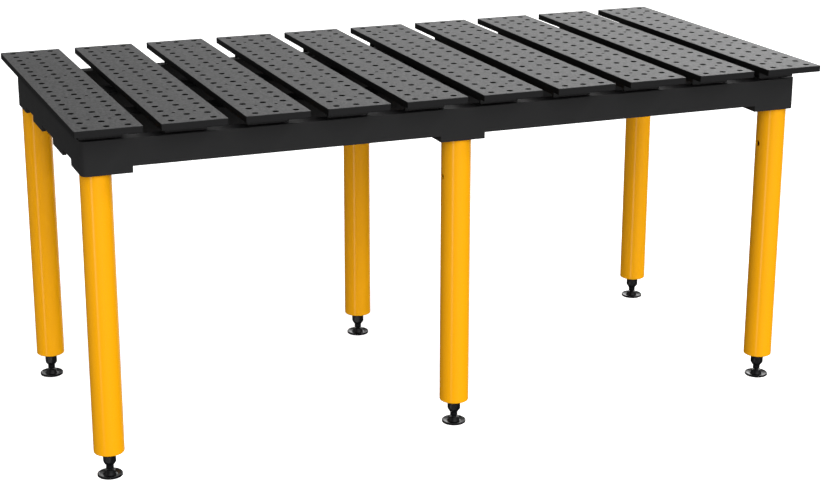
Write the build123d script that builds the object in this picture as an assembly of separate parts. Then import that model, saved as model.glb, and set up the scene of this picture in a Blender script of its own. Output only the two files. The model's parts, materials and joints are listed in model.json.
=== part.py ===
from build123d import *
import os
from math import cos, radians

# Modular welding table: ten perforated steel slats on a welded frame, carried by six
# round legs with screw-adjusted swivel feet. Millimetres, +Z up, +X along the length.
# The origin is on the floor, under the centre of the table.

# ---- overall ----
TABLE_HEIGHT = 905.0            # floor to work surface, feet screwed fully in
GRID = 50.8                     # pitch of the tooling holes

# ---- slats ----
SLAT_COUNT = 10
SLAT_PITCH = 4 * GRID
SLAT_WIDTH = 160.5
SLAT_LENGTH = 19 * GRID
SLAT_THICK = 16.0
SLAT_CORNER_R = 3.0
SLAT_EDGE_CHAMFER = 0.8
HOLE_COLUMNS = 3
HOLE_ROWS = 19
TOOL_HOLE_R = 8.0
HOLE_CHAMFER = 0.5
SCREW_HOLE_R = 4.2              # tapped hole for a levelling or hold-down screw
SCREW_R = 4.1
SCREW_RECESS = 1.5              # screw tops below the work surface
SCREW_SOCKET_ACROSS = 4.0
SCREW_SOCKET_DEPTH = 4.0
SCREW_POINT_CHAMFER = 0.6
SCREW_BITE = 10.0               # length of a hold-down screw inside the frame
SCREW_TAP_DEPTH = 15.0
SCREW_TAP_CLEARANCE = 0.05
SCREW_X = GRID / 2              # screw rows, from the slat's centreline
SCREW_Y_OUTER = 7.5 * GRID
SCREW_Y_INNER = 2.5 * GRID

# ---- ribs under each slat ----
RIB_THICK = 6.0
RIB_X = 38.0                    # centre of each rib, clear of the tooling holes
RIB_LIFT = 3.0                  # rib bottom above the frame top
RIB_FOOT_WIDTH = 104.0
RIB_FOOT_THICK = 8.0
RIB_FOOT_Y = 392.0              # centre of the plate across each end of the ribs
RIB_FOOT_LIFT = 1.5
RIB_FOOT_CHAMFER = 1.0
SADDLE_THICK = 6.0
SADDLE_Y = 136.0                # centre of the inner plates across the ribs

# ---- frame ----
FRAME_LENGTH = 1934.0
FRAME_WIDTH = 820.0
FRAME_TOP = TABLE_HEIGHT - 45.0
BEAM_HEIGHT = 68.0
SKIRT_DROP = 16.0               # depth of the skirts below the beams
END_PLATE_THICK = 9.5
END_BEND_R = 16.0               # outer radius of the bent corners
CORNER_LENGTH = 122.0           # return of an end plate along the front and rear
END_SKIRT_INNER = 70.0          # inner skirts of an end plate run from here ...
END_SKIRT_OUTER = 190.0         # ... to here, on both sides of the centre
CORNER_SKIRT_START = 290.0
WEB_THICK = 6.0
FLANGE_DEPTH = 38.0
CHANNEL_BEND_R = 2.0
MIDDLE_SKIRT_WIDTH = 120.0
INNER_BEAM_Y = SCREW_Y_INNER
INNER_BEAM_WIDTH = 76.0
TUBE_WALL = 5.0
TUBE_CORNER_R = 7.0
CROSS_WIDTH = 50.0
CROSS_WALL = 4.0
PLATE_THICK = 8.0               # leg mounting plates, corner plates and gussets
GUSSET_RELIEF = 4.0             # gusset corners cut clear of the channel's bends
GUSSET_LIP = 12.0               # height of a gusset at its inner end
CORNER_RELIEF = 0.5             # plates inside a bend are rounded a little more than it

# ---- legs ----
LEG_X = 926.0
LEG_Y = 367.0
MIDDLE_X = -3.5                 # the middle legs and their mounting, just left of centre
LEG_R = 38.1                    # 3 inch tube
LEG_WALL = 4.0
LEG_BOTTOM = 64.0
LEG_EDGE_R = 2.5
LEG_FLANGE_THICK = SKIRT_DROP
LEG_FLANGE_INNER_Y = 294.0      # inner edge of the leg flanges and mounting plates
LEG_PIN_HOLE_R = 8.0
LEG_PIN_HOLE_Z = TABLE_HEIGHT - 229.0
BOLT_R = 6.0
BOLT_HEAD_R = 11.0
BOLT_HEAD_HEIGHT = 5.0
BOLT_HEAD_CLEARANCE = 0.2
BOLT_SOCKET_ACROSS = 8.0
BOLT_SOCKET_DEPTH = 4.0
BOLT_LENGTH = 30.0
BOLT_EDGE = 15.0                # bolt centres from the edge of a leg flange
BOLT_CLEARANCE = 0.05
BOLT_FLANGE_CLEARANCE = 0.5     # bolt holes through a leg flange

# ---- levelling feet ----
STUD_R = 10.0                   # M20 stud, lead 2.5 mm
STUD_CLEARANCE = 0.05
STUD_LENGTH = 85.0              # threaded length above the hexagonal collar
STUD_TIP_CHAMFER = 1.5
INSERT_LENGTH = 40.0
INSERT_CLEARANCE = 0.05
LOCK_NUT_ACROSS = 30.0
LOCK_NUT_THICK = 10.0
NUT_BEVEL_R = 1.5
NUT_BEVEL_HEIGHT = 1.2
COLLAR_ACROSS = 30.0            # hexagonal collar, across the flats
COLLAR_CORNER_R = 17.0
COLLAR_BOTTOM = 38.0
COLLAR_CONE_BOTTOM = 28.0
COLLAR_BEVEL_R = 1.5
COLLAR_BEVEL_HEIGHT = 1.0
NECK_R = 9.6
NECK_BOTTOM = 18.5
NECK_TAPER = 2.0                # height of the shoulder under the neck
BALL_R = 7.0
BALL_Z = 11.0
BALL_NECK_R = 5.0
SEAT_R = 8.5
SEAT_TOP = 14.5
SEAT_BOTTOM = 5.0
PAD_R = 31.5
PAD_RIM_HEIGHT = 6.0
PAD_RIM_WIDTH = 3.5
PAD_RIM_SLOPE = 1.5
PAD_EDGE = 1.0
PAD_DISH_HEIGHT = 4.4           # outer edge of the dished ring, sloping down inwards
PAD_DISH_FOOT = 2.7
PAD_FLARE_R = 18.5              # foot of the dome, where it leaves the dish
PAD_FLARE_HEIGHT = 1.2
PAD_DOME_R = 15.5
PAD_WAIST_R = 13.5
PAD_WAIST_Z = 9.0
PAD_DOME_TOP_R = 11.5
PAD_DOME_TOP = 15.0

OVER = 1.0                      # cutters run past the faces by this much
NEAR = 0.01                     # two positions closer than this are the same

SLAT_BOTTOM = TABLE_HEIGHT - SLAT_THICK
BEAM_BOTTOM = FRAME_TOP - BEAM_HEIGHT
SKIRT_BOTTOM = BEAM_BOTTOM - SKIRT_DROP
HALF_LENGTH = FRAME_LENGTH / 2
HALF_WIDTH = FRAME_WIDTH / 2
CORNER_INNER_X = HALF_LENGTH - CORNER_LENGTH
WEB_INNER_Y = HALF_WIDTH - WEB_THICK
FLANGE_LIP_Y = HALF_WIDTH - FLANGE_DEPTH
END_INNER_X = HALF_LENGTH - END_PLATE_THICK
END_INNER_Y = HALF_WIDTH - END_PLATE_THICK

LEG_NAMES = {
    "front_left": (-LEG_X, -LEG_Y),
    "front_middle": (MIDDLE_X, -LEG_Y),
    "front_right": (LEG_X, -LEG_Y),
    "rear_left": (-LEG_X, LEG_Y),
    "rear_middle": (MIDDLE_X, LEG_Y),
    "rear_right": (LEG_X, LEG_Y),
}

nodes = {}


def block(x0, x1, y0, y1, z0, z1):
    """A box between two values on each axis."""
    centre = Pos((x0 + x1) / 2, (y0 + y1) / 2, (z0 + z1) / 2)
    return centre * Box(abs(x1 - x0), abs(y1 - y0), abs(z1 - z0))


def rod(x, y, z0, z1, radius):
    """A vertical cylinder."""
    return Pos(x, y, (z0 + z1) / 2) * Cylinder(radius, z1 - z0)


def turned(points):
    """A solid of revolution about Z from (radius, height) points."""
    outline = make_face(Polyline([(r, 0, z) for r, z in points], close=True))
    return revolve(outline, Axis.Z)


def hexagon(across, z0, z1):
    """A hexagonal prism with a flat towards the front."""
    outline = Rot(0, 0, 30) * RegularPolygon(across / 2, 6, major_radius=False, align=None)
    return extrude(Pos(0, 0, z0) * outline, z1 - z0)


def group(solids):
    """Several separate solids kept in one node."""
    return Compound(children=[Solid(s.solid().wrapped) for s in solids])


# ---------------------------------------------------------------- slats

def slat_x(index):
    return (index - (SLAT_COUNT - 1) / 2) * SLAT_PITCH


def screw_places():
    """Screw positions on one slat, with True for a hold-down screw."""
    places = []
    for y in (-SCREW_Y_OUTER, -SCREW_Y_INNER, SCREW_Y_INNER, SCREW_Y_OUTER):
        places.append((-SCREW_X, y, y > 0))
        places.append((SCREW_X, y, y < 0))
    return places


def make_slat():
    """One perforated slat at X = 0."""
    plan = RectangleRounded(SLAT_WIDTH, SLAT_LENGTH, SLAT_CORNER_R)
    plate = extrude(Pos(0, 0, SLAT_BOTTOM) * plan, SLAT_THICK)
    plate = chamfer(plate.faces().sort_by(Axis.Z)[-1].outer_wire().edges(), SLAT_EDGE_CHAMFER)
    cutters = []
    top = TABLE_HEIGHT
    wide = TOOL_HOLE_R + HOLE_CHAMFER
    for place in GridLocations(GRID, GRID, HOLE_COLUMNS, HOLE_ROWS):
        x, y = place.position.X, place.position.Y
        cutter = Pos(x, y, 0) * turned([
            (0, SLAT_BOTTOM - OVER), (TOOL_HOLE_R, SLAT_BOTTOM - OVER),
            (TOOL_HOLE_R, top - HOLE_CHAMFER), (wide, top), (wide, top + OVER), (0, top + OVER)])
        cutters.append(cutter)
    for x, y, _ in screw_places():
        cutters.append(rod(x, y, SLAT_BOTTOM - OVER, TABLE_HEIGHT + OVER, SCREW_HOLE_R))
    return plate - cutters


def make_ribs():
    """The ladder of plates under one slat at X = 0: ribs, end feet and inner saddles."""
    rib_bottom = FRAME_TOP + RIB_LIFT
    foot_bottom = FRAME_TOP + RIB_FOOT_LIFT
    rib_end = RIB_FOOT_Y - RIB_FOOT_THICK / 2
    solids = []
    for side in (-1, 1):
        centre = side * RIB_X
        solids.append(block(centre - RIB_THICK / 2, centre + RIB_THICK / 2, -rib_end, rib_end,
                            rib_bottom, SLAT_BOTTOM))
        foot_y = side * RIB_FOOT_Y
        foot = block(-RIB_FOOT_WIDTH / 2, RIB_FOOT_WIDTH / 2, foot_y - RIB_FOOT_THICK / 2,
                     foot_y + RIB_FOOT_THICK / 2, foot_bottom, SLAT_BOTTOM)
        solids.append(chamfer(foot.edges().filter_by(Axis.Z), RIB_FOOT_CHAMFER))
        saddle_y = side * SADDLE_Y
        half = RIB_X - RIB_THICK / 2
        solids.append(block(-half, half, saddle_y - SADDLE_THICK / 2, saddle_y + SADDLE_THICK / 2,
                            rib_bottom, SLAT_BOTTOM))
    return solids


def make_screw(hold_down):
    """A socket screw in a slat: a levelling screw stands on the frame, a hold-down enters it."""
    top = TABLE_HEIGHT - SCREW_RECESS
    bottom = FRAME_TOP - SCREW_BITE if hold_down else FRAME_TOP
    body = rod(0, 0, bottom, top, SCREW_R)
    body = chamfer(body.edges().group_by(Axis.Z)[0], SCREW_POINT_CHAMFER)
    return body - hexagon(SCREW_SOCKET_ACROSS, top - SCREW_SOCKET_DEPTH, top + OVER)


slat = make_slat()
ribs = make_ribs()
levelling_screws = []
hold_down_screws = []
screws = {kind: make_screw(kind) for kind in (False, True)}
for index in range(SLAT_COUNT):
    x = slat_x(index)
    nodes[f"slat_{index + 1:02d}"] = Pos(x, 0, 0) * slat
    nodes[f"slat_ribs_{index + 1:02d}"] = group([Pos(x, 0, 0) * s for s in ribs])
    for screw_x, y, hold_down in screw_places():
        screw = Pos(x + screw_x, y, 0) * screws[hold_down]
        (hold_down_screws if hold_down else levelling_screws).append(screw)
nodes["levelling_screws"] = group(levelling_screws)
nodes["hold_down_screws"] = group(hold_down_screws)


# ---------------------------------------------------------------- frame

def hold_down_holes(y_low, y_high):
    """Tapped holes in the frame for the hold-down screws between two values of Y."""
    cutters = []
    for index in range(SLAT_COUNT):
        for screw_x, y, hold_down in screw_places():
            if hold_down and y_low < y < y_high:
                cutters.append(rod(slat_x(index) + screw_x, y, FRAME_TOP - SCREW_TAP_DEPTH,
                                   FRAME_TOP + OVER, SCREW_R + SCREW_TAP_CLEARANCE))
    return cutters


def bolt_places(name):
    """The flange bolts of one leg: four round a middle leg, three beside a corner leg."""
    x, y = LEG_NAMES[name]
    side = 1 if y > 0 else -1
    outer_y = side * (WEB_INNER_Y - BOLT_EDGE)
    inner_y = side * (LEG_FLANGE_INNER_Y + BOLT_EDGE)
    if x == MIDDLE_X:
        offset = MIDDLE_SKIRT_WIDTH / 2 - BOLT_EDGE
        return [(x + dx, by) for dx in (-offset, offset) for by in (outer_y, inner_y)]
    hand = 1 if x > 0 else -1
    near_x = hand * (CORNER_INNER_X + BOLT_EDGE)
    far_x = hand * (END_INNER_X - BOLT_EDGE)
    return [(near_x, outer_y), (near_x, inner_y), (far_x, inner_y)]


def bolt_holes(name, z0, z1, radius):
    return [rod(x, y, z0, z1, radius) for x, y in bolt_places(name)]


def make_beam(middle_x):
    """The front beam: a bent channel, open to the rear, with a skirt at the middle leg."""
    web = block(-CORNER_INNER_X, CORNER_INNER_X, -HALF_WIDTH, -WEB_INNER_Y, BEAM_BOTTOM, FRAME_TOP)
    top = block(-CORNER_INNER_X, CORNER_INNER_X, -HALF_WIDTH, -FLANGE_LIP_Y,
                FRAME_TOP - WEB_THICK, FRAME_TOP)
    bottom = block(-CORNER_INNER_X, CORNER_INNER_X, -HALF_WIDTH, -FLANGE_LIP_Y,
                   BEAM_BOTTOM, BEAM_BOTTOM + WEB_THICK)
    half = MIDDLE_SKIRT_WIDTH / 2
    skirt = block(middle_x - half, middle_x + half, -HALF_WIDTH, -WEB_INNER_Y,
                  SKIRT_BOTTOM, BEAM_BOTTOM)
    beam = web + top + bottom
    bends = beam.edges().filter_by(Axis.X).filter_by(
        lambda e: abs(e.center().Y + HALF_WIDTH) < NEAR and e.center().Z > BEAM_BOTTOM + OVER)
    beam = fillet(bends, CHANNEL_BEND_R)
    beam = beam + skirt
    beam = beam - hold_down_holes(-HALF_WIDTH, -FLANGE_LIP_Y)
    outer_bolts = [(x - MIDDLE_X + middle_x, y) for x, y in bolt_places("front_middle")
                   if y < -FLANGE_LIP_Y]
    return beam - [rod(x, y, BEAM_BOTTOM - OVER, BEAM_BOTTOM + WEB_THICK + OVER,
                       BOLT_R + BOLT_CLEARANCE) for x, y in outer_bolts]


def rect_tube(length, width, height, wall, corner):
    """A rectangular tube along X, centred on the origin."""
    outer = RectangleRounded(width, height, corner)
    inner = RectangleRounded(width - 2 * wall, height - 2 * wall, corner - wall)
    return Pos(-length / 2, 0, 0) * extrude(Plane.YZ * (outer - inner), length)


def make_end_plate():
    """The left end plate, bent round both corners, with its notched lower edge."""
    plan = RectangleRounded(FRAME_LENGTH, FRAME_WIDTH, END_BEND_R)
    hollow = RectangleRounded(FRAME_LENGTH - 2 * END_PLATE_THICK, FRAME_WIDTH - 2 * END_PLATE_THICK,
                              END_BEND_R - END_PLATE_THICK)
    ring = extrude(Pos(0, 0, SKIRT_BOTTOM) * (plan - hollow), FRAME_TOP - SKIRT_BOTTOM)
    plate = ring & block(-HALF_LENGTH - OVER, -CORNER_INNER_X, -HALF_WIDTH - OVER,
                         HALF_WIDTH + OVER, SKIRT_BOTTOM - OVER, FRAME_TOP + OVER)
    notches = [(-CORNER_SKIRT_START, -END_SKIRT_OUTER), (-END_SKIRT_INNER, END_SKIRT_INNER),
               (END_SKIRT_OUTER, CORNER_SKIRT_START)]
    for y0, y1 in notches:
        plate = plate - block(-HALF_LENGTH - OVER, -END_INNER_X + OVER, y0, y1,
                              SKIRT_BOTTOM - OVER, BEAM_BOTTOM)
    return plate


nodes["front_beam"] = make_beam(MIDDLE_X)
nodes["rear_beam"] = Rot(0, 0, 180) * make_beam(-MIDDLE_X)
nodes["end_plate_left"] = make_end_plate()
nodes["end_plate_right"] = Rot(0, 0, 180) * nodes["end_plate_left"]

for name, side in (("front", -1), ("rear", 1)):
    tube = rect_tube(2 * END_INNER_X, INNER_BEAM_WIDTH, BEAM_HEIGHT, TUBE_WALL, TUBE_CORNER_R)
    tube = Pos(0, side * INNER_BEAM_Y, FRAME_TOP - BEAM_HEIGHT / 2) * tube
    middle = side * INNER_BEAM_Y
    reach = INNER_BEAM_WIDTH / 2
    nodes[f"inner_beam_{name}"] = tube - hold_down_holes(middle - reach, middle + reach)

cross_bottom = BEAM_BOTTOM + PLATE_THICK
cross_height = FRAME_TOP - WEB_THICK - cross_bottom
inner_face = INNER_BEAM_Y - INNER_BEAM_WIDTH / 2
outer_face = INNER_BEAM_Y + INNER_BEAM_WIDTH / 2
cross_members = []
for y0, y1 in ((-WEB_INNER_Y, -outer_face), (-inner_face, inner_face), (outer_face, WEB_INNER_Y)):
    tube = rect_tube(y1 - y0, CROSS_WIDTH, cross_height, CROSS_WALL, TUBE_CORNER_R)
    cross_members.append(Pos(MIDDLE_X, (y0 + y1) / 2, cross_bottom + cross_height / 2)
                         * (Rot(0, 0, 90) * tube))
nodes["centre_cross_members"] = group(cross_members)


def leg_pad_limits(name):
    """The footprint of a leg's flange inside the skirts: x0, x1, outer y, inner y."""
    x, y = LEG_NAMES[name]
    side = 1 if y > 0 else -1
    if x == MIDDLE_X:
        half = MIDDLE_SKIRT_WIDTH / 2
        return x - half, x + half, side * WEB_INNER_Y, side * LEG_FLANGE_INNER_Y
    hand = 1 if x > 0 else -1
    x0, x1 = sorted((hand * CORNER_INNER_X, hand * END_INNER_X))
    return x0, x1, side * END_INNER_Y, side * LEG_FLANGE_INNER_Y


def make_countersink():
    """The cutter that sinks a bolt head into the underside of a leg flange."""
    return turned([(0, SKIRT_BOTTOM - OVER), (BOLT_HEAD_R + OVER, SKIRT_BOTTOM - OVER),
                   (BOLT_HEAD_R, SKIRT_BOTTOM), (BOLT_R, SKIRT_BOTTOM + BOLT_HEAD_HEIGHT),
                   (0, SKIRT_BOTTOM + BOLT_HEAD_HEIGHT)])


def make_flange_bolt():
    """A countersunk socket bolt, put in from below."""
    tip = SKIRT_BOTTOM + BOLT_LENGTH
    body = turned([(0, SKIRT_BOTTOM), (BOLT_HEAD_R - BOLT_HEAD_CLEARANCE, SKIRT_BOTTOM),
                   (BOLT_R, SKIRT_BOTTOM + BOLT_HEAD_HEIGHT - BOLT_HEAD_CLEARANCE),
                   (BOLT_R, tip), (0, tip)])
    return body - hexagon(BOLT_SOCKET_ACROSS, SKIRT_BOTTOM - OVER,
                          SKIRT_BOTTOM + BOLT_SOCKET_DEPTH)


def round_bend_corner(shape, name):
    """Rounds the plate corner that sits in the bend of an end plate."""
    x, y = LEG_NAMES[name]
    if x == MIDDLE_X:
        return shape
    corner = [e for e in shape.edges().filter_by(Axis.Z)
              if abs(abs(e.center().X) - END_INNER_X) < NEAR
              and abs(abs(e.center().Y) - END_INNER_Y) < NEAR]
    return fillet(corner, END_BEND_R - END_PLATE_THICK + CORNER_RELIEF)


countersink = make_countersink()
bolt = make_flange_bolt()
frame_taps = hold_down_holes(-HALF_WIDTH, HALF_WIDTH)
leg_flanges = []
leg_mount_plates = []
corner_top_plates = []
leg_gussets = []
flange_bolts = []
for name, (leg_x, leg_y) in LEG_NAMES.items():
    side = 1 if leg_y > 0 else -1
    x0, x1, outer_y, inner_y = leg_pad_limits(name)
    flange = round_bend_corner(
        block(x0, x1, outer_y, inner_y, SKIRT_BOTTOM, BEAM_BOTTOM), name)
    flange = flange - bolt_holes(name, SKIRT_BOTTOM - OVER, BEAM_BOTTOM + OVER,
                                 BOLT_R + BOLT_FLANGE_CLEARANCE)
    leg_flanges.append(flange - [Pos(bx, by, 0) * countersink for bx, by in bolt_places(name)])

    if leg_x == MIDDLE_X:
        lip_y = side * FLANGE_LIP_Y
        mount = block(x0, x1, lip_y, inner_y, BEAM_BOTTOM, BEAM_BOTTOM + PLATE_THICK)
        cut_places = [(bx, by) for bx, by in bolt_places(name) if abs(by) < FLANGE_LIP_Y]
        gusset_x = [x0, x1 - PLATE_THICK]
        base = BEAM_BOTTOM + WEB_THICK
        crown = FRAME_TOP - WEB_THICK
        floor = BEAM_BOTTOM + PLATE_THICK
        web_y = side * WEB_INNER_Y
        relief_y = side * (WEB_INNER_Y - GUSSET_RELIEF)
        outline = [(web_y, base + GUSSET_RELIEF), (relief_y, base), (lip_y, base),
                   (lip_y, floor), (inner_y, floor), (inner_y, floor + GUSSET_LIP),
                   (lip_y, crown), (relief_y, crown), (web_y, crown - GUSSET_RELIEF)]
    else:
        mount = round_bend_corner(
            block(x0, x1, outer_y, inner_y, BEAM_BOTTOM, BEAM_BOTTOM + PLATE_THICK), name)
        top_plate = round_bend_corner(
            block(x0, x1, outer_y, inner_y, FRAME_TOP - PLATE_THICK, FRAME_TOP), name)
        corner_top_plates.append(top_plate - [hole for hole in frame_taps
                                              if x0 < hole.center().X < x1])
        cut_places = bolt_places(name)
        gusset_x = [x1 - PLATE_THICK] if leg_x < 0 else [x0]
        outline = [(outer_y, BEAM_BOTTOM + PLATE_THICK), (inner_y, BEAM_BOTTOM + PLATE_THICK),
                   (inner_y, FRAME_TOP - PLATE_THICK), (outer_y, FRAME_TOP - PLATE_THICK)]
    leg_mount_plates.append(mount - [rod(bx, by, BEAM_BOTTOM - OVER,
                                         BEAM_BOTTOM + PLATE_THICK + OVER,
                                         BOLT_R + BOLT_CLEARANCE) for bx, by in cut_places])
    for gx in gusset_x:
        face = make_face(Polyline([(gx, y, z) for y, z in outline], close=True))
        leg_gussets.append(extrude(face, PLATE_THICK, dir=(1, 0, 0)))

    flange_bolts += [Pos(bx, by, 0) * bolt for bx, by in bolt_places(name)]

nodes["leg_flanges"] = group(leg_flanges)
nodes["leg_mount_plates"] = group(leg_mount_plates)
nodes["corner_top_plates"] = group(corner_top_plates)
nodes["leg_gussets"] = group(leg_gussets)
nodes["flange_bolts"] = group(flange_bolts)


# ---------------------------------------------------------------- legs

def make_leg(hole_sides):
    """A round leg tube on the Z axis, with a pin hole in its left (-1) or right (1) side."""
    tube = rod(0, 0, LEG_BOTTOM, SKIRT_BOTTOM, LEG_R)
    tube = fillet(tube.edges().group_by(Axis.Z)[0], LEG_EDGE_R)
    tube = tube - rod(0, 0, LEG_BOTTOM - OVER, SKIRT_BOTTOM + OVER, LEG_R - LEG_WALL)
    drill = Rot(0, 90, 0) * Cylinder(LEG_PIN_HOLE_R, 3 * LEG_WALL)
    return tube - [Pos(side * LEG_R, 0, LEG_PIN_HOLE_Z) * drill for side in hole_sides]


def make_insert():
    """The threaded plug closing the bottom of a leg."""
    top = LEG_BOTTOM + INSERT_LENGTH
    plug = rod(0, 0, LEG_BOTTOM, top, LEG_R - LEG_WALL - INSERT_CLEARANCE)
    return plug - rod(0, 0, LEG_BOTTOM - OVER, top + OVER, STUD_R + STUD_CLEARANCE)


def make_lock_nut():
    """The lock nut against the bottom of a leg."""
    top = LEG_BOTTOM
    bottom = top - LOCK_NUT_THICK
    corner = LOCK_NUT_ACROSS / 2 / cos(radians(30))
    bevel = turned([(0, bottom), (corner - NUT_BEVEL_R, bottom),
                    (corner, bottom + NUT_BEVEL_HEIGHT), (corner, top - NUT_BEVEL_HEIGHT),
                    (corner - NUT_BEVEL_R, top), (0, top)])
    nut = hexagon(LOCK_NUT_ACROSS, bottom, top) & bevel
    return nut - rod(0, 0, bottom - OVER, top + OVER, STUD_R + STUD_CLEARANCE)


# ---------------------------------------------------------------- feet

def make_stud():
    """The levelling stud: ball end, neck, hexagonal collar and threaded shank."""
    collar_top = LEG_BOTTOM - LOCK_NUT_THICK
    ball = Pos(0, 0, BALL_Z) * Sphere(BALL_R)
    neck = turned([(0, BALL_Z), (BALL_NECK_R, BALL_Z), (BALL_NECK_R, NECK_BOTTOM - NECK_TAPER),
                   (NECK_R, NECK_BOTTOM), (NECK_R, COLLAR_CONE_BOTTOM), (0, COLLAR_CONE_BOTTOM)])
    envelope = turned([(0, COLLAR_CONE_BOTTOM), (NECK_R, COLLAR_CONE_BOTTOM),
                       (COLLAR_CORNER_R, COLLAR_BOTTOM),
                       (COLLAR_CORNER_R, collar_top - COLLAR_BEVEL_HEIGHT),
                       (COLLAR_CORNER_R - COLLAR_BEVEL_R, collar_top), (0, collar_top)])
    collar = Rot(0, 0, 30) * hexagon(COLLAR_ACROSS, COLLAR_CONE_BOTTOM, collar_top) & envelope
    shank = rod(0, 0, collar_top, collar_top + STUD_LENGTH, STUD_R)
    shank = chamfer(shank.edges().group_by(Axis.Z)[-1], STUD_TIP_CHAMFER)
    return ball + neck + collar + shank


def make_seat():
    """The split ring between the stud's ball and the pad's socket."""
    ring = Sphere(SEAT_R) - Sphere(BALL_R + STUD_CLEARANCE)
    ring = Pos(0, 0, BALL_Z) * ring
    return ring & rod(0, 0, SEAT_BOTTOM, SEAT_TOP, SEAT_R + OVER)


def make_pad():
    """The swivel pad: flat base, raised rim, dished top and domed socket."""
    rim_inner = PAD_R - PAD_RIM_WIDTH
    pad = turned([(0, 0), (PAD_R - PAD_EDGE, 0), (PAD_R, PAD_EDGE),
                  (PAD_R, PAD_RIM_HEIGHT - PAD_EDGE), (PAD_R - PAD_EDGE, PAD_RIM_HEIGHT),
                  (rim_inner, PAD_RIM_HEIGHT), (rim_inner - PAD_RIM_SLOPE, PAD_DISH_HEIGHT),
                  (PAD_FLARE_R, PAD_DISH_FOOT), (PAD_DOME_R, PAD_DISH_FOOT + PAD_FLARE_HEIGHT),
                  (PAD_WAIST_R, PAD_WAIST_Z), (PAD_DOME_TOP_R + PAD_EDGE, PAD_DOME_TOP - PAD_EDGE),
                  (PAD_DOME_TOP_R, PAD_DOME_TOP), (0, PAD_DOME_TOP)])
    return pad - Pos(0, 0, BALL_Z) * Sphere(SEAT_R + STUD_CLEARANCE)


legs = {-1: make_leg([1]), 0: make_leg([-1, 1]), 1: make_leg([-1])}
insert = make_insert()
lock_nut = make_lock_nut()
stud = make_stud()
seat = make_seat()
pad = make_pad()
for name, (x, y) in LEG_NAMES.items():
    nodes[f"leg_{name}"] = Pos(x, y, 0) * legs[round(x / LEG_X)]
    nodes[f"foot_stud_{name}"] = Pos(x, y, 0) * stud
    nodes[f"foot_seat_{name}"] = Pos(x, y, 0) * seat
    nodes[f"foot_pad_{name}"] = Pos(x, y, 0) * pad
nodes["leg_inserts"] = group([Pos(x, y, 0) * insert for x, y in LEG_NAMES.values()])
nodes["lock_nuts"] = group([Pos(x, y, 0) * lock_nut for x, y in LEG_NAMES.values()])

os.makedirs("parts", exist_ok=True)
for node_name, shape in nodes.items():
    export_step(shape, os.path.join("parts", f"{node_name}.step"))
print(len(nodes), "nodes")
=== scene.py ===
import json
import math
import random

import bmesh
import bpy
from mathutils import Matrix, Vector


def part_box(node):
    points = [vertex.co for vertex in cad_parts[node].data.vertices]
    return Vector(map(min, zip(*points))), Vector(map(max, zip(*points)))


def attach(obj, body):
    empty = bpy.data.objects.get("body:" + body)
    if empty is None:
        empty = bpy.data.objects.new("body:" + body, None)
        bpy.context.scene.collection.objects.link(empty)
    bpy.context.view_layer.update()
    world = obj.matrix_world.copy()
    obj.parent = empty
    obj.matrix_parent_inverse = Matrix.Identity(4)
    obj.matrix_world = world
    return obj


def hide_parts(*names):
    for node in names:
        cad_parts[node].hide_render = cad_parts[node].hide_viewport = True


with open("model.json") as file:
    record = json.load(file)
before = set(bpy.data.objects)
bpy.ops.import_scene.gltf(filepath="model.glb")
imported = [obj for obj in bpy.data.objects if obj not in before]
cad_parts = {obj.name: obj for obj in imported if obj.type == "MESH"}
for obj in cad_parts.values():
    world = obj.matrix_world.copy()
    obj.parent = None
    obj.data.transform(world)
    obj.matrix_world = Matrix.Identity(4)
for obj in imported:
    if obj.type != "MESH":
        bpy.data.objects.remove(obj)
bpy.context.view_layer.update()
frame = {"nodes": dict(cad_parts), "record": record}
nodes = frame["nodes"]
scene = bpy.context.scene


# ---------------------------------------------------------------- camera

CAMERA_PLACE = Vector((-1.7763, -4.4810, 1.8949))
CAMERA_RIGHT = Vector((0.92989, -0.36783, 0.0003))
CAMERA_UP = Vector((0.10539, 0.2672, 0.95786))
CAMERA_LENS = 78.99
CAMERA_SHIFT = (0.01524, -0.0278)


def make_camera():
    data = bpy.data.cameras.new("view_camera")
    data.sensor_width = 36.0
    data.lens = CAMERA_LENS
    data.shift_x, data.shift_y = CAMERA_SHIFT
    data.clip_start, data.clip_end = 0.05, 60.0
    camera = bpy.data.objects.new("view_camera", data)
    right = CAMERA_RIGHT.normalized()
    up = (CAMERA_UP - right * CAMERA_UP.dot(right)).normalized()
    back = right.cross(up)
    turn = Matrix((right, up, back)).transposed().to_4x4()
    camera.matrix_world = Matrix.Translation(CAMERA_PLACE) @ turn
    scene.collection.objects.link(camera)
    scene.camera = camera


# ---------------------------------------------------------------- materials

TOP_DARK = (0.031, 0.031, 0.0325)
TOP_LIGHT = (0.046, 0.046, 0.048)
# painted shade on the slat faces that don't face up, darker than the tops
SHADED_SIDE_STEEL = (0.010, 0.010, 0.0105)
# painted shade on the slat sides in the slots between slats
SLOT_SHADE_STEEL = (0.003, 0.003, 0.003)
EDGE_STEEL = (0.085, 0.085, 0.088)
# painted shade, nearly black, on the hole walls and the underside around them
HOLE_SHADE_STEEL = (0.0004, 0.0004, 0.0004)
SLAT_PITCH = 0.2032
# faces that don't face up inside this zone take the painted hole shade
HOLE_ZONE_X = 0.035             # the holes lie further than this from the middle of a gap
HOLE_ZONE_Y = 0.470
ZONE_BLEND = 0.002              # width of the change at the edges of that zone
FLOOR_GLOW = 0.6
FLOOR_DEPTH = 0.0555            # just clear of a pad that is screwed fully down and tilted


def maths_node(tree, operation, first, second):
    """A maths node whose inputs are each a number or the output of another node."""
    made = tree.nodes.new("ShaderNodeMath")
    made.operation = operation
    for socket, value in zip(made.inputs, (first, second)):
        if isinstance(value, bpy.types.NodeSocket):
            tree.links.new(value, socket)
        else:
            socket.default_value = value
    return made.outputs[0]


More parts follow.
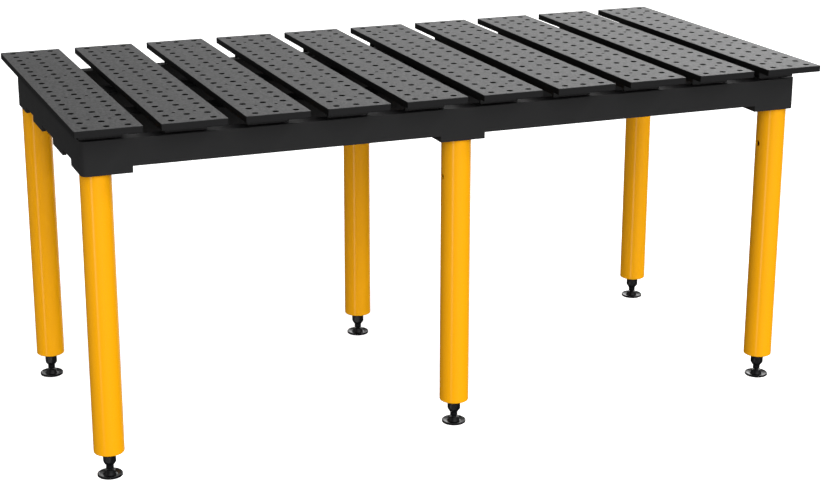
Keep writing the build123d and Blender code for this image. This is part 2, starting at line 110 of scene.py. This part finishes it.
class Shader:
    """A small helper for building one procedural material.

    The plain colour and roughness hold where nothing is linked to them."""

    def __init__(self, name, base, roughness, metallic=0.0):
        self.material = bpy.data.materials.new(name)
        self.material.use_nodes = True
        self.tree = self.material.node_tree
        self.surface = self.tree.nodes["Principled BSDF"]
        self.surface.inputs["Base Color"].default_value = (*base, 1.0)
        self.surface.inputs["Roughness"].default_value = roughness
        self.surface.inputs["Metallic"].default_value = metallic
        self.place = self.node("ShaderNodeTexCoord").outputs["Object"]

    def node(self, kind, **settings):
        made = self.tree.nodes.new(kind)
        for name, value in settings.items():
            setattr(made, name, value)
        return made

    def link(self, source, target):
        self.tree.links.new(source, target)

    def set(self, name, value):
        self.surface.inputs[name].default_value = value

    def scaled(self, factors):
        mapping = self.node("ShaderNodeMapping")
        mapping.inputs["Scale"].default_value = factors
        self.link(self.place, mapping.inputs["Vector"])
        return mapping.outputs["Vector"]

    def noise(self, scale, detail=3.0, rough=0.5, vector=None):
        made = self.node("ShaderNodeTexNoise")
        made.inputs["Scale"].default_value = scale
        made.inputs["Detail"].default_value = detail
        made.inputs["Roughness"].default_value = rough
        self.link(vector or self.place, made.inputs["Vector"])
        return made.outputs["Fac"]

    def ramp(self, value, stops):
        made = self.node("ShaderNodeValToRGB")
        ramp = made.color_ramp
        while len(ramp.elements) < len(stops):
            ramp.elements.new(0.5)
        for element, (where, colour) in zip(ramp.elements, stops):
            element.position = where
            element.color = (*colour, 1.0) if hasattr(colour, "__len__") else (colour,) * 3 + (1.0,)
        self.link(value, made.inputs["Fac"])
        return made.outputs["Color"]

    def span(self, value, low, high, out_low, out_high):
        made = self.node("ShaderNodeMapRange")
        for name, number in zip(("From Min", "From Max", "To Min", "To Max"),
                                (low, high, out_low, out_high)):
            made.inputs[name].default_value = number
        self.link(value, made.inputs["Value"])
        return made.outputs["Result"]

    def mix(self, factor, first, second, blend="MIX"):
        made = self.node("ShaderNodeMix", data_type="RGBA", blend_type=blend)
        for socket, value in ((made.inputs[0], factor), (made.inputs[6], first),
                              (made.inputs[7], second)):
            if isinstance(value, bpy.types.NodeSocket):
                self.link(value, socket)
            elif hasattr(value, "__len__"):
                socket.default_value = (*value, 1.0)
            else:
                socket.default_value = value
        return made.outputs[2]

    def maths(self, operation, first, second):
        return maths_node(self.tree, operation, first, second)

    def bump(self, height, strength, distance, normal=None):
        made = self.node("ShaderNodeBump")
        made.inputs["Strength"].default_value = strength
        made.inputs["Distance"].default_value = distance
        self.link(height, made.inputs["Height"])
        if normal:
            self.link(normal, made.inputs["Normal"])
        return made.outputs["Normal"]


def slat_steel():
    """Blackened steel, satin grey on the top faces. Apart from lighter outer chamfered edges, every
    face that doesn't face up carries painted shade: darker than the tops, darker still on the sides in
    the slots between slats, and nearly black on the hole walls and the underside around them.
    """
    s = Shader("slat_steel", (0.05, 0.05, 0.052), 0.5)
    grain = s.noise(260.0, 3.0, 0.7)
    mottle = s.noise(150.0, 2.0, 0.6, s.scaled((1.0, 0.5, 1.0)))
    blotch = s.noise(16.0, 4.0, 0.55)
    lines = s.noise(1.0, 2.0, 0.6, s.scaled((1400.0, 14.0, 60.0)))
    up = s.node("ShaderNodeSeparateXYZ")
    s.link(s.node("ShaderNodeTexCoord").outputs["Normal"], up.inputs["Vector"])
    # painted shade: faces that don't face up take the darker side colours, up-facing tops the lighter
    # grey
    lit_top_share = s.span(up.outputs["Z"], 0.90, 0.99, 0.0, 1.0)
    across = s.node("ShaderNodeSeparateXYZ")
    s.link(s.place, across.inputs["Vector"])
    beside = s.maths("PINGPONG", across.outputs["X"], SLAT_PITCH / 2)
    # painted shade mask: the hole walls and the underside around them, away from the slots and the
    # slat ends
    hole_shade_share = s.maths("MULTIPLY", s.span(beside, HOLE_ZONE_X, HOLE_ZONE_X + ZONE_BLEND, 0.0, 1.0),
                     s.span(s.maths("ABSOLUTE", across.outputs["Y"], 0.0),
                            HOLE_ZONE_Y, HOLE_ZONE_Y + ZONE_BLEND, 1.0, 0.0))
    # painted shade mask: the sides facing across into the slots between slats
    slot_shade_share = s.span(s.maths("ABSOLUTE", up.outputs["X"], 0.0), 0.7, 0.95, 0.0, 1.0)
    edge = s.maths("MULTIPLY", s.span(up.outputs["Z"], 0.45, 0.60, 0.0, 1.0),
                   s.span(blotch, 0.35, 0.60, 0.3, 1.0))
    side = s.mix(edge, s.mix(slot_shade_share, SHADED_SIDE_STEEL, SLOT_SHADE_STEEL), EDGE_STEEL)
    side = s.mix(hole_shade_share, side, HOLE_SHADE_STEEL)
    top = s.mix(s.span(blotch, 0.35, 0.65, 0.0, 1.0), TOP_DARK, TOP_LIGHT)
    top = s.mix(0.4, top, s.ramp(grain, [(0.35, 0.006), (0.65, 0.080)]))
    top = s.mix(0.36, top, s.ramp(mottle, [(0.36, 0.002), (0.64, 0.085)]))
    s.link(s.mix(lit_top_share, side, top), s.surface.inputs["Base Color"])
    s.link(s.span(grain, 0.3, 0.7, 0.40, 0.55), s.surface.inputs["Roughness"])
    s.link(s.bump(lines, 0.10, 0.0003, s.bump(grain, 0.4, 0.0004)), s.surface.inputs["Normal"])
    s.set("Specular IOR Level", 0.11)
    return s.material


def frame_paint():
    """Black powder coat with a fine orange peel."""
    s = Shader("frame_paint", (0.014, 0.014, 0.015), 0.5)
    peel = s.noise(420.0, 2.0, 0.5)
    cloud = s.noise(6.0, 3.0, 0.5)
    s.link(s.mix(cloud, (0.012, 0.012, 0.0125), (0.016, 0.016, 0.0165)),
           s.surface.inputs["Base Color"])
    s.link(s.span(cloud, 0.3, 0.7, 0.50, 0.62), s.surface.inputs["Roughness"])
    s.link(s.bump(peel, 0.3, 0.0003), s.surface.inputs["Normal"])
    s.set("Specular IOR Level", 0.2)
    return s.material


def leg_paint():
    """Orange-yellow powder coat, semi-gloss."""
    s = Shader("leg_paint", (0.95, 0.40, 0.003), 0.35)
    peel = s.noise(350.0, 2.0, 0.5)
    cloud = s.noise(9.0, 3.0, 0.5)
    s.link(s.mix(cloud, (0.95, 0.412, 0.002), (0.98, 0.430, 0.003)), s.surface.inputs["Base Color"])
    s.link(s.span(peel, 0.3, 0.7, 0.20, 0.28), s.surface.inputs["Roughness"])
    s.link(s.bump(peel, 0.15, 0.0003), s.surface.inputs["Normal"])
    s.set("Specular IOR Level", 0.12)
    return s.material


def screw_steel():
    """Black-oxide screws."""
    s = Shader("screw_steel", (0.05, 0.05, 0.055), 0.4, 0.6)
    speck = s.noise(700.0, 2.0, 0.5)
    s.link(s.span(speck, 0.3, 0.7, 0.3, 0.5), s.surface.inputs["Roughness"])
    s.link(s.bump(speck, 0.15, 0.0002), s.surface.inputs["Normal"])
    return s.material


def foot_steel():
    """Black-oxide steel of the studs and lock nuts."""
    s = Shader("foot_steel", (0.006, 0.006, 0.007), 0.3, 0.0)
    speck = s.noise(500.0, 2.0, 0.5)
    s.link(s.span(speck, 0.3, 0.7, 0.22, 0.36), s.surface.inputs["Roughness"])
    s.link(s.bump(speck, 0.15, 0.0002), s.surface.inputs["Normal"])
    s.set("Specular IOR Level", 0.18)
    return s.material


def foot_pad():
    """Black enamel on the pads."""
    s = Shader("foot_pad", (0.004, 0.004, 0.0045), 0.3)
    speck = s.noise(300.0, 2.0, 0.5)
    s.link(s.span(speck, 0.3, 0.7, 0.16, 0.28), s.surface.inputs["Roughness"])
    s.link(s.bump(speck, 0.2, 0.0003), s.surface.inputs["Normal"])
    s.set("Specular IOR Level", 0.15)
    return s.material


def foot_seat():
    """Black nylon of the ball seats."""
    s = Shader("foot_seat", (0.02, 0.02, 0.02), 0.55)
    speck = s.noise(600.0, 2.0, 0.5)
    s.link(s.bump(speck, 0.2, 0.0002), s.surface.inputs["Normal"])
    return s.material


def floor_paint():
    """Matt white, lit enough to be nearly as white as the backdrop."""
    s = Shader("floor_paint", (0.92, 0.92, 0.92), 0.9)
    s.link(s.span(s.noise(3.0, 2.0), 0.3, 0.7, 0.85, 0.95), s.surface.inputs["Roughness"])
    s.set("Emission Color", (1.0, 1.0, 1.0, 1.0))
    s.set("Emission Strength", FLOOR_GLOW)
    return s.material


materials = {maker.__name__: maker() for maker in (
    slat_steel, frame_paint, leg_paint, screw_steel, foot_steel, foot_pad, foot_seat)}
for part in frame["record"]["subparts"]:
    shown = nodes[part["node"]]
    shown.data.materials.clear()
    shown.data.materials.append(materials[part["material_slot"]])


# ---------------------------------------------------------------- pieces made here

def finish_piece(name, mesh_data, body, slot, sharp_angle=35.0):
    """Turns a bmesh into a piece that rides on a body and takes a slot's finish."""
    mesh = bpy.data.meshes.new(name)
    bmesh.ops.recalc_face_normals(mesh_data, faces=mesh_data.faces)
    mesh_data.to_mesh(mesh)
    mesh_data.free()
    mesh.shade_smooth()
    mesh.set_sharp_from_angle(angle=math.radians(sharp_angle))
    piece = bpy.data.objects.new(name, mesh)
    mesh.materials.append(materials[slot])
    scene.collection.objects.link(piece)
    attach(piece, body)
    return piece


def join_rings(mesh_data, rings, closed=False, caps=False):
    """Faces between rings of the same number of points."""
    pairs = list(zip(rings, rings[1:]))
    if closed:
        pairs.append((rings[-1], rings[0]))
    for first, second in pairs:
        for i in range(len(first)):
            j = (i + 1) % len(first)
            mesh_data.faces.new((first[i], first[j], second[j], second[i]))
    if caps:
        mesh_data.faces.new(rings[0])
        mesh_data.faces.new(rings[-1])


# ---- weld beads ----
WELD_RIPPLE = 0.0034            # length of one ripple
WELD_RINGS = 3                  # rings in one ripple
WELD_BITE = 0.0006              # how far the root sits inside the corner
WELD_SWELL = 0.16               # a ripple stands out by this share of the size
WELD_FLAT = 0.86                # the face of a bead is flatter than a round one
WELD_LAG = 0.5                  # the middle of a ripple trails by this share of its length
WELD_START = 0.35               # share of the size at the ends of a bead
WELD_DRIFT = (-0.08, 0.08)      # unevenness in where the ripples fall
WELD_WOBBLE = (0.96, 1.04)      # unevenness in size
WELD_SHARP = 60.0               # edges sharper than this many degrees stay sharp


def weld_ring(mesh_data, corner, first, second, along, size, ripple):
    """One cross-section of a fillet bead between two faces that meet at a corner."""
    swell = size * (1.0 + WELD_SWELL * ripple)
    points = [corner - (first + second) * WELD_BITE]
    for step in range(5):
        turn = math.pi / 2 * step / 4
        reach = swell * (WELD_FLAT if 0 < step < 4 else 1.0)
        lag = along * WELD_RIPPLE * WELD_LAG * math.sin(2 * turn)
        points.append(corner + (first * math.cos(turn) + second * math.sin(turn)) * reach + lag)
    return [mesh_data.verts.new(p) for p in points]


def weld_line(mesh_data, start, end, first, second, size):
    """A straight bead from start to end with tapered ends."""
    start, end = Vector(start), Vector(end)
    first, second = Vector(first), Vector(second)
    length = (end - start).length
    count = max(6, round(length / WELD_RIPPLE * WELD_RINGS))
    along = (end - start).normalized()
    rings = []
    for i in range(count + 1):
        share = i / count
        edge = min(share, 1.0 - share) * length / size
        taper = min(1.0, WELD_START + (1.0 - WELD_START) * edge)
        ripple = abs(math.sin(math.pi * (i / WELD_RINGS + random.uniform(*WELD_DRIFT))))
        wobble = random.uniform(*WELD_WOBBLE)
        corner = start.lerp(end, share)
        rings.append(weld_ring(mesh_data, corner, first, second, along * taper,
                               size * taper * wobble, ripple))
    join_rings(mesh_data, rings, caps=True)


def weld_circle(mesh_data, centre, radius, size):
    """A bead round a vertical tube where it meets the plate above it."""
    count = round(2 * math.pi * radius / WELD_RIPPLE) * WELD_RINGS
    rings = []
    for i in range(count):
        turn = 2 * math.pi * i / count
        out = Vector((math.cos(turn), math.sin(turn), 0.0))
        along = Vector((-math.sin(turn), math.cos(turn), 0.0))
        ripple = abs(math.sin(math.pi * i / WELD_RINGS))
        rings.append(weld_ring(mesh_data, centre + out * radius, out, Vector((0.0, 0.0, -1.0)),
                               along, size * random.uniform(*WELD_WOBBLE), ripple))
    join_rings(mesh_data, rings, closed=True)


X, Y, Z = Vector((1.0, 0.0, 0.0)), Vector((0.0, 1.0, 0.0)), Vector((0.0, 0.0, 1.0))
FEET = [name[len("foot_stud_"):] for name in sorted(nodes) if name.startswith("foot_stud_")]
LEG_WELD = 0.0026               # how far each kind of bead reaches along a face
FRAME_WELD = 0.0045
RIB_WELD = 0.003


def middle(low, high):
    return (low + high) / 2


def make_leg_welds():
    for foot in FEET:
        low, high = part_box(f"leg_{foot}")
        centre = Vector((middle(low[0], high[0]), middle(low[1], high[1]), high[2]))
        welds = bmesh.new()
        weld_circle(welds, centre, (high[0] - low[0]) / 2, LEG_WELD)
        finish_piece(f"leg_weld_{foot}", welds, "table", "leg_paint", WELD_SHARP)


GRID = 0.0508                   # pitch of the tooling holes
RIB_X = 0.038                   # centre of each rib from its slat's centre
RIB_HALF = 0.003
STITCH_HALF = 0.015             # stitches lie between the tooling holes
STITCH_ROWS = (-6.5, -4.5, -2.5, -0.5, 0.5, 2.5, 4.5, 6.5)


def make_rib_welds():
    """Stitch welds between the ribs and the underside of every slat."""
    for name in sorted(nodes):
        if not name.startswith("slat_ribs_"):
            continue
        low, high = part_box(name)
        centre = middle(low[0], high[0])
        welds = bmesh.new()
        for side in (-1, 1):
            x = centre + side * (RIB_X + RIB_HALF)
            for row in STITCH_ROWS:
                y = row * GRID
                weld_line(welds, (x, y - STITCH_HALF, high[2]), (x, y + STITCH_HALF, high[2]),
                          X * side, -Z, RIB_WELD)
        finish_piece(name.replace("slat_ribs", "rib_welds"), welds, "table", "frame_paint", WELD_SHARP)


END_PLATE = 0.0095              # thickness of an end plate
PLATE = 0.008                   # thickness of a leg mounting plate
CORNER_PLATE_LENGTH = 0.1045    # of the corner plates, between the gusset and the end plate
CORNER_PLATE_DEPTH = 0.1065
TUBE_CORNER = 0.007
WELD_INSET = 0.012              # beads stop short of the corners by this much


def make_frame_welds():
    """Fillet welds inside the frame: beams to end plates, cross members to beams."""
    plate_inner = abs(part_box("end_plate_left")[0][0]) - END_PLATE
    welds = bmesh.new()
    for beam in ("inner_beam_front", "inner_beam_rear"):
        low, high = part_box(beam)
        for end in (-1, 1):
            x = end * plate_inner
            for side, y in ((-1, low[1]), (1, high[1])):
                weld_line(welds, (x, y, low[2] + TUBE_CORNER), (x, y, high[2] - TUBE_CORNER),
                          Y * side, -X * end, FRAME_WELD)
            weld_line(welds, (x, low[1] + TUBE_CORNER, low[2]), (x, high[1] - TUBE_CORNER, low[2]),
                      -Z, -X * end, FRAME_WELD)
        cross_low, cross_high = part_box("centre_cross_members")
        for side, y in ((-1, low[1]), (1, high[1])):
            for end in (-1, 1):
                x = cross_high[0] if end > 0 else cross_low[0]
                weld_line(welds, (x, y, cross_low[2] + TUBE_CORNER),
                          (x, y, cross_high[2] - TUBE_CORNER), X * end, Y * side, FRAME_WELD)
    finish_piece("beam_welds", welds, "table", "frame_paint", WELD_SHARP)

    welds = bmesh.new()
    plate_low, plate_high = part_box("leg_mount_plates")
    plate_top = plate_low[2] + PLATE
    inner_y, outer_y = abs(plate_high[1]) - CORNER_PLATE_DEPTH, abs(plate_high[1])
    for end in (-1, 1):
        for side in (-1, 1):
            x, y = end * plate_inner, side * outer_y
            weld_line(welds, (x, side * (inner_y + WELD_INSET), plate_top),
                      (x, side * (outer_y - WELD_INSET), plate_top), Z, -X * end, FRAME_WELD)
            gusset = plate_inner - CORNER_PLATE_LENGTH
            weld_line(welds, (end * (gusset + WELD_INSET), y, plate_top),
                      (end * (plate_inner - WELD_INSET), y, plate_top), Z, -Y * side, FRAME_WELD)
    finish_piece("corner_welds", welds, "table", "frame_paint", WELD_SHARP)


# ---- threaded levelling studs ----
TURN_POINTS = 48                # points round a stud, a multiple of 12
THREAD_PITCH = 0.0025
THREAD_ROOT = 0.0087
THREAD_CREST = 0.0100
THREAD_SHAPE = ((0.0, 0.0), (0.38, 1.0), (0.54, 1.0), (0.92, 0.0))    # share of pitch, of depth
THREAD_TIP = 0.0015             # unthreaded end
COLLAR_FLAT = 0.0150            # from the axis to a flat of the hexagonal collar
COLLAR_FOOT = 0.0283
COLLAR_TOP = 0.0540
BALL_R = 0.0070
BALL_Z = 0.0110
BALL_NECK_TURN = 0.72           # where the neck leaves the ball, in radians
NECK_OUTLINE = ((0.0055, 0.0162), (0.0070, 0.0172), (0.0089, 0.0180), (0.0096, 0.0190),
                (0.0096, 0.0264), (0.0097, 0.0274), (0.0104, 0.0286))
COLLAR_OUTLINE = ((0.0169, 0.0380), (0.0170, 0.0395), (0.0170, 0.0524), (0.0165, 0.0532),
                  (0.0155, 0.0540), (THREAD_ROOT, 0.0540))


def stud_outline():
    """(radius, height) of the turned part of a stud, from its ball to the top of its collar."""
    points = []
    for step in range(1, 10):
        turn = -math.pi / 2 + (math.pi / 2 + BALL_NECK_TURN) * step / 9
        points.append((BALL_R * math.cos(turn), BALL_Z + BALL_R * math.sin(turn)))
    points += NECK_OUTLINE
    cone_foot, cone_top = NECK_OUTLINE[-1], COLLAR_OUTLINE[0]
    for step in range(1, 8):
        points.append(tuple(a + (b - a) * step / 8 for a, b in zip(cone_foot, cone_top)))
    return points + list(COLLAR_OUTLINE)


def around(body, x, y, z, radius_at):
    """A ring of points about a vertical axis."""
    ring = []
    for i in range(TURN_POINTS):
        turn = 2 * math.pi * i / TURN_POINTS
        r = radius_at(turn)
        ring.append(body.verts.new((x + r * math.cos(turn), y + r * math.sin(turn), z)))
    return ring


def cut_thread(body, x, y, base, top):
    """A helical thread between two heights, running out at both ends."""
    turns = math.ceil((top - base) / THREAD_PITCH)
    rows = []
    for n in range(-1, turns + 1):
        for up, out in THREAD_SHAPE:
            row = []
            for i in range(TURN_POINTS):
                turn = 2 * math.pi * i / TURN_POINTS
                z = base + THREAD_PITCH * (n + i / TURN_POINTS + up)
                z = min(max(z, base), top)
                fade = min(1.0, (z - base) / THREAD_PITCH, (top - z) / THREAD_PITCH)
                r = THREAD_ROOT + (THREAD_CREST - THREAD_ROOT) * out * fade
                row.append(body.verts.new((x + r * math.cos(turn), y + r * math.sin(turn), z)))
            rows.append(row)
    lead = len(THREAD_SHAPE)
    for m in range(len(rows) - 1):
        for i in range(TURN_POINTS):
            if i + 1 < TURN_POINTS:
                beside = rows[m][i + 1], rows[m + 1][i + 1]
            elif m + lead + 1 < len(rows):
                beside = rows[m + lead][0], rows[m + lead + 1][0]
            else:
                continue
            body.faces.new((rows[m][i], beside[0], beside[1], rows[m + 1][i]))


def make_stud(foot):
    """A levelling stud with its ball, neck, hexagonal collar and rolled thread."""
    node = f"foot_stud_{foot}"
    low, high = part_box(node)
    x, y = middle(low[0], high[0]), middle(low[1], high[1])
    body = bmesh.new()
    rings = []
    for radius, z in stud_outline():
        def radius_at(turn):
            away = (turn + math.pi / 6) % (math.pi / 3) - math.pi / 6
            return min(radius, COLLAR_FLAT / math.cos(away)) if z > COLLAR_FOOT else radius
        rings.append(around(body, x, y, z, radius_at))
    join_rings(body, rings)
    body.faces.new(rings[0])
    tip = high[2] - THREAD_TIP
    cut_thread(body, x, y, COLLAR_TOP, tip)
    tip_rings = [around(body, x, y, tip, lambda turn: THREAD_ROOT),
                 around(body, x, y, high[2], lambda turn: THREAD_ROOT - THREAD_TIP)]
    join_rings(body, tip_rings)
    body.faces.new(tip_rings[1])
    bmesh.ops.remove_doubles(body, verts=body.verts, dist=1e-6)
    bmesh.ops.dissolve_degenerate(body, edges=body.edges, dist=1e-7)
    piece = finish_piece(f"levelling_stud_{foot}", body, f"stud_{foot}", "foot_steel")
    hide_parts(node)


random.seed(7)
make_leg_welds()
make_rib_welds()
make_frame_welds()
for foot in FEET:
    make_stud(foot)


# ---------------------------------------------------------------- studio

# azimuth and elevation in degrees, sharpness, strength
SOFT_LIGHTS = (
    (0.0, 50.0, 6.0, 2.5),
    (0.0, 10.0, 6.0, 1.8),
    (45.0, 10.0, 6.0, 0.85),
    (137.0, 10.0, 12.0, 5.0),
    (225.0, 10.0, 6.0, 0.25),
    (270.0, 10.0, 6.0, 0.9),
    (190.0, 45.0, 6.0, 0.45),
)
SUN_WIDTH = 6.0                 # degrees across
FLOOR_HALF = 30.0


def make_floor():
    mesh = bpy.data.meshes.new("studio_floor")
    grid = bmesh.new()
    bmesh.ops.create_grid(grid, x_segments=8, y_segments=8, size=FLOOR_HALF)
    grid.to_mesh(mesh)
    grid.free()
    floor = bpy.data.objects.new("studio_floor", mesh)
    scene.collection.objects.link(floor)
    mesh.materials.append(floor_paint())
    floor.location.z = -FLOOR_DEPTH
    floor.visible_diffuse = False
    floor.visible_glossy = False
    floor.visible_shadow = False


def direction(azimuth, elevation):
    """The way to a light; azimuth 0 is the front, 90 the right and 180 the back."""
    a, e = math.radians(azimuth), math.radians(elevation)
    return Vector((math.sin(a) * math.cos(e), -math.cos(a) * math.cos(e), math.sin(e)))


def make_world(lobes):
    """A dark room with soft bright areas, each (azimuth, elevation, sharpness, strength).

    The camera itself sees plain white behind the table."""
    world = bpy.data.worlds.new("studio")
    world.use_nodes = True
    tree = world.node_tree
    sky = tree.nodes["Background"]
    sky.inputs["Color"].default_value = (1.0, 1.0, 1.0, 1.0)
    way = tree.nodes.new("ShaderNodeTexCoord").outputs["Generated"]

    total = 0.0
    for azimuth, elevation, sharpness, strength in lobes:
        facing = tree.nodes.new("ShaderNodeVectorMath")
        facing.operation = "DOT_PRODUCT"
        tree.links.new(way, facing.inputs[0])
        facing.inputs[1].default_value = direction(azimuth, elevation)
        toward = maths_node(tree, "MAXIMUM", facing.outputs["Value"], 0.0)
        lobe = maths_node(tree, "POWER", toward, sharpness)
        total = maths_node(tree, "ADD", maths_node(tree, "MULTIPLY", lobe, strength), total)
    seen = tree.nodes.new("ShaderNodeLightPath").outputs["Is Camera Ray"]
    tree.links.new(maths_node(tree, "MAXIMUM", total, seen), sky.inputs["Strength"])
    scene.world = world


def make_sun(name, azimuth, elevation, strength):
    """A far light; azimuth 0 comes from the front, and 90 from the right."""
    data = bpy.data.lights.new(name, "SUN")
    data.energy = strength
    data.angle = math.radians(SUN_WIDTH)
    light = bpy.data.objects.new(name, data)
    light.rotation_mode = "QUATERNION"
    light.rotation_quaternion = direction(azimuth, elevation).to_track_quat("Z", "Y")
    scene.collection.objects.link(light)


make_camera()
make_floor()
make_world(SOFT_LIGHTS)
make_sun("key_light", 60.0, 45.0, 0.56)
make_sun("stripe_light", -45.0, -16.0, 0.30)
scene.view_settings.view_transform = "Standard"
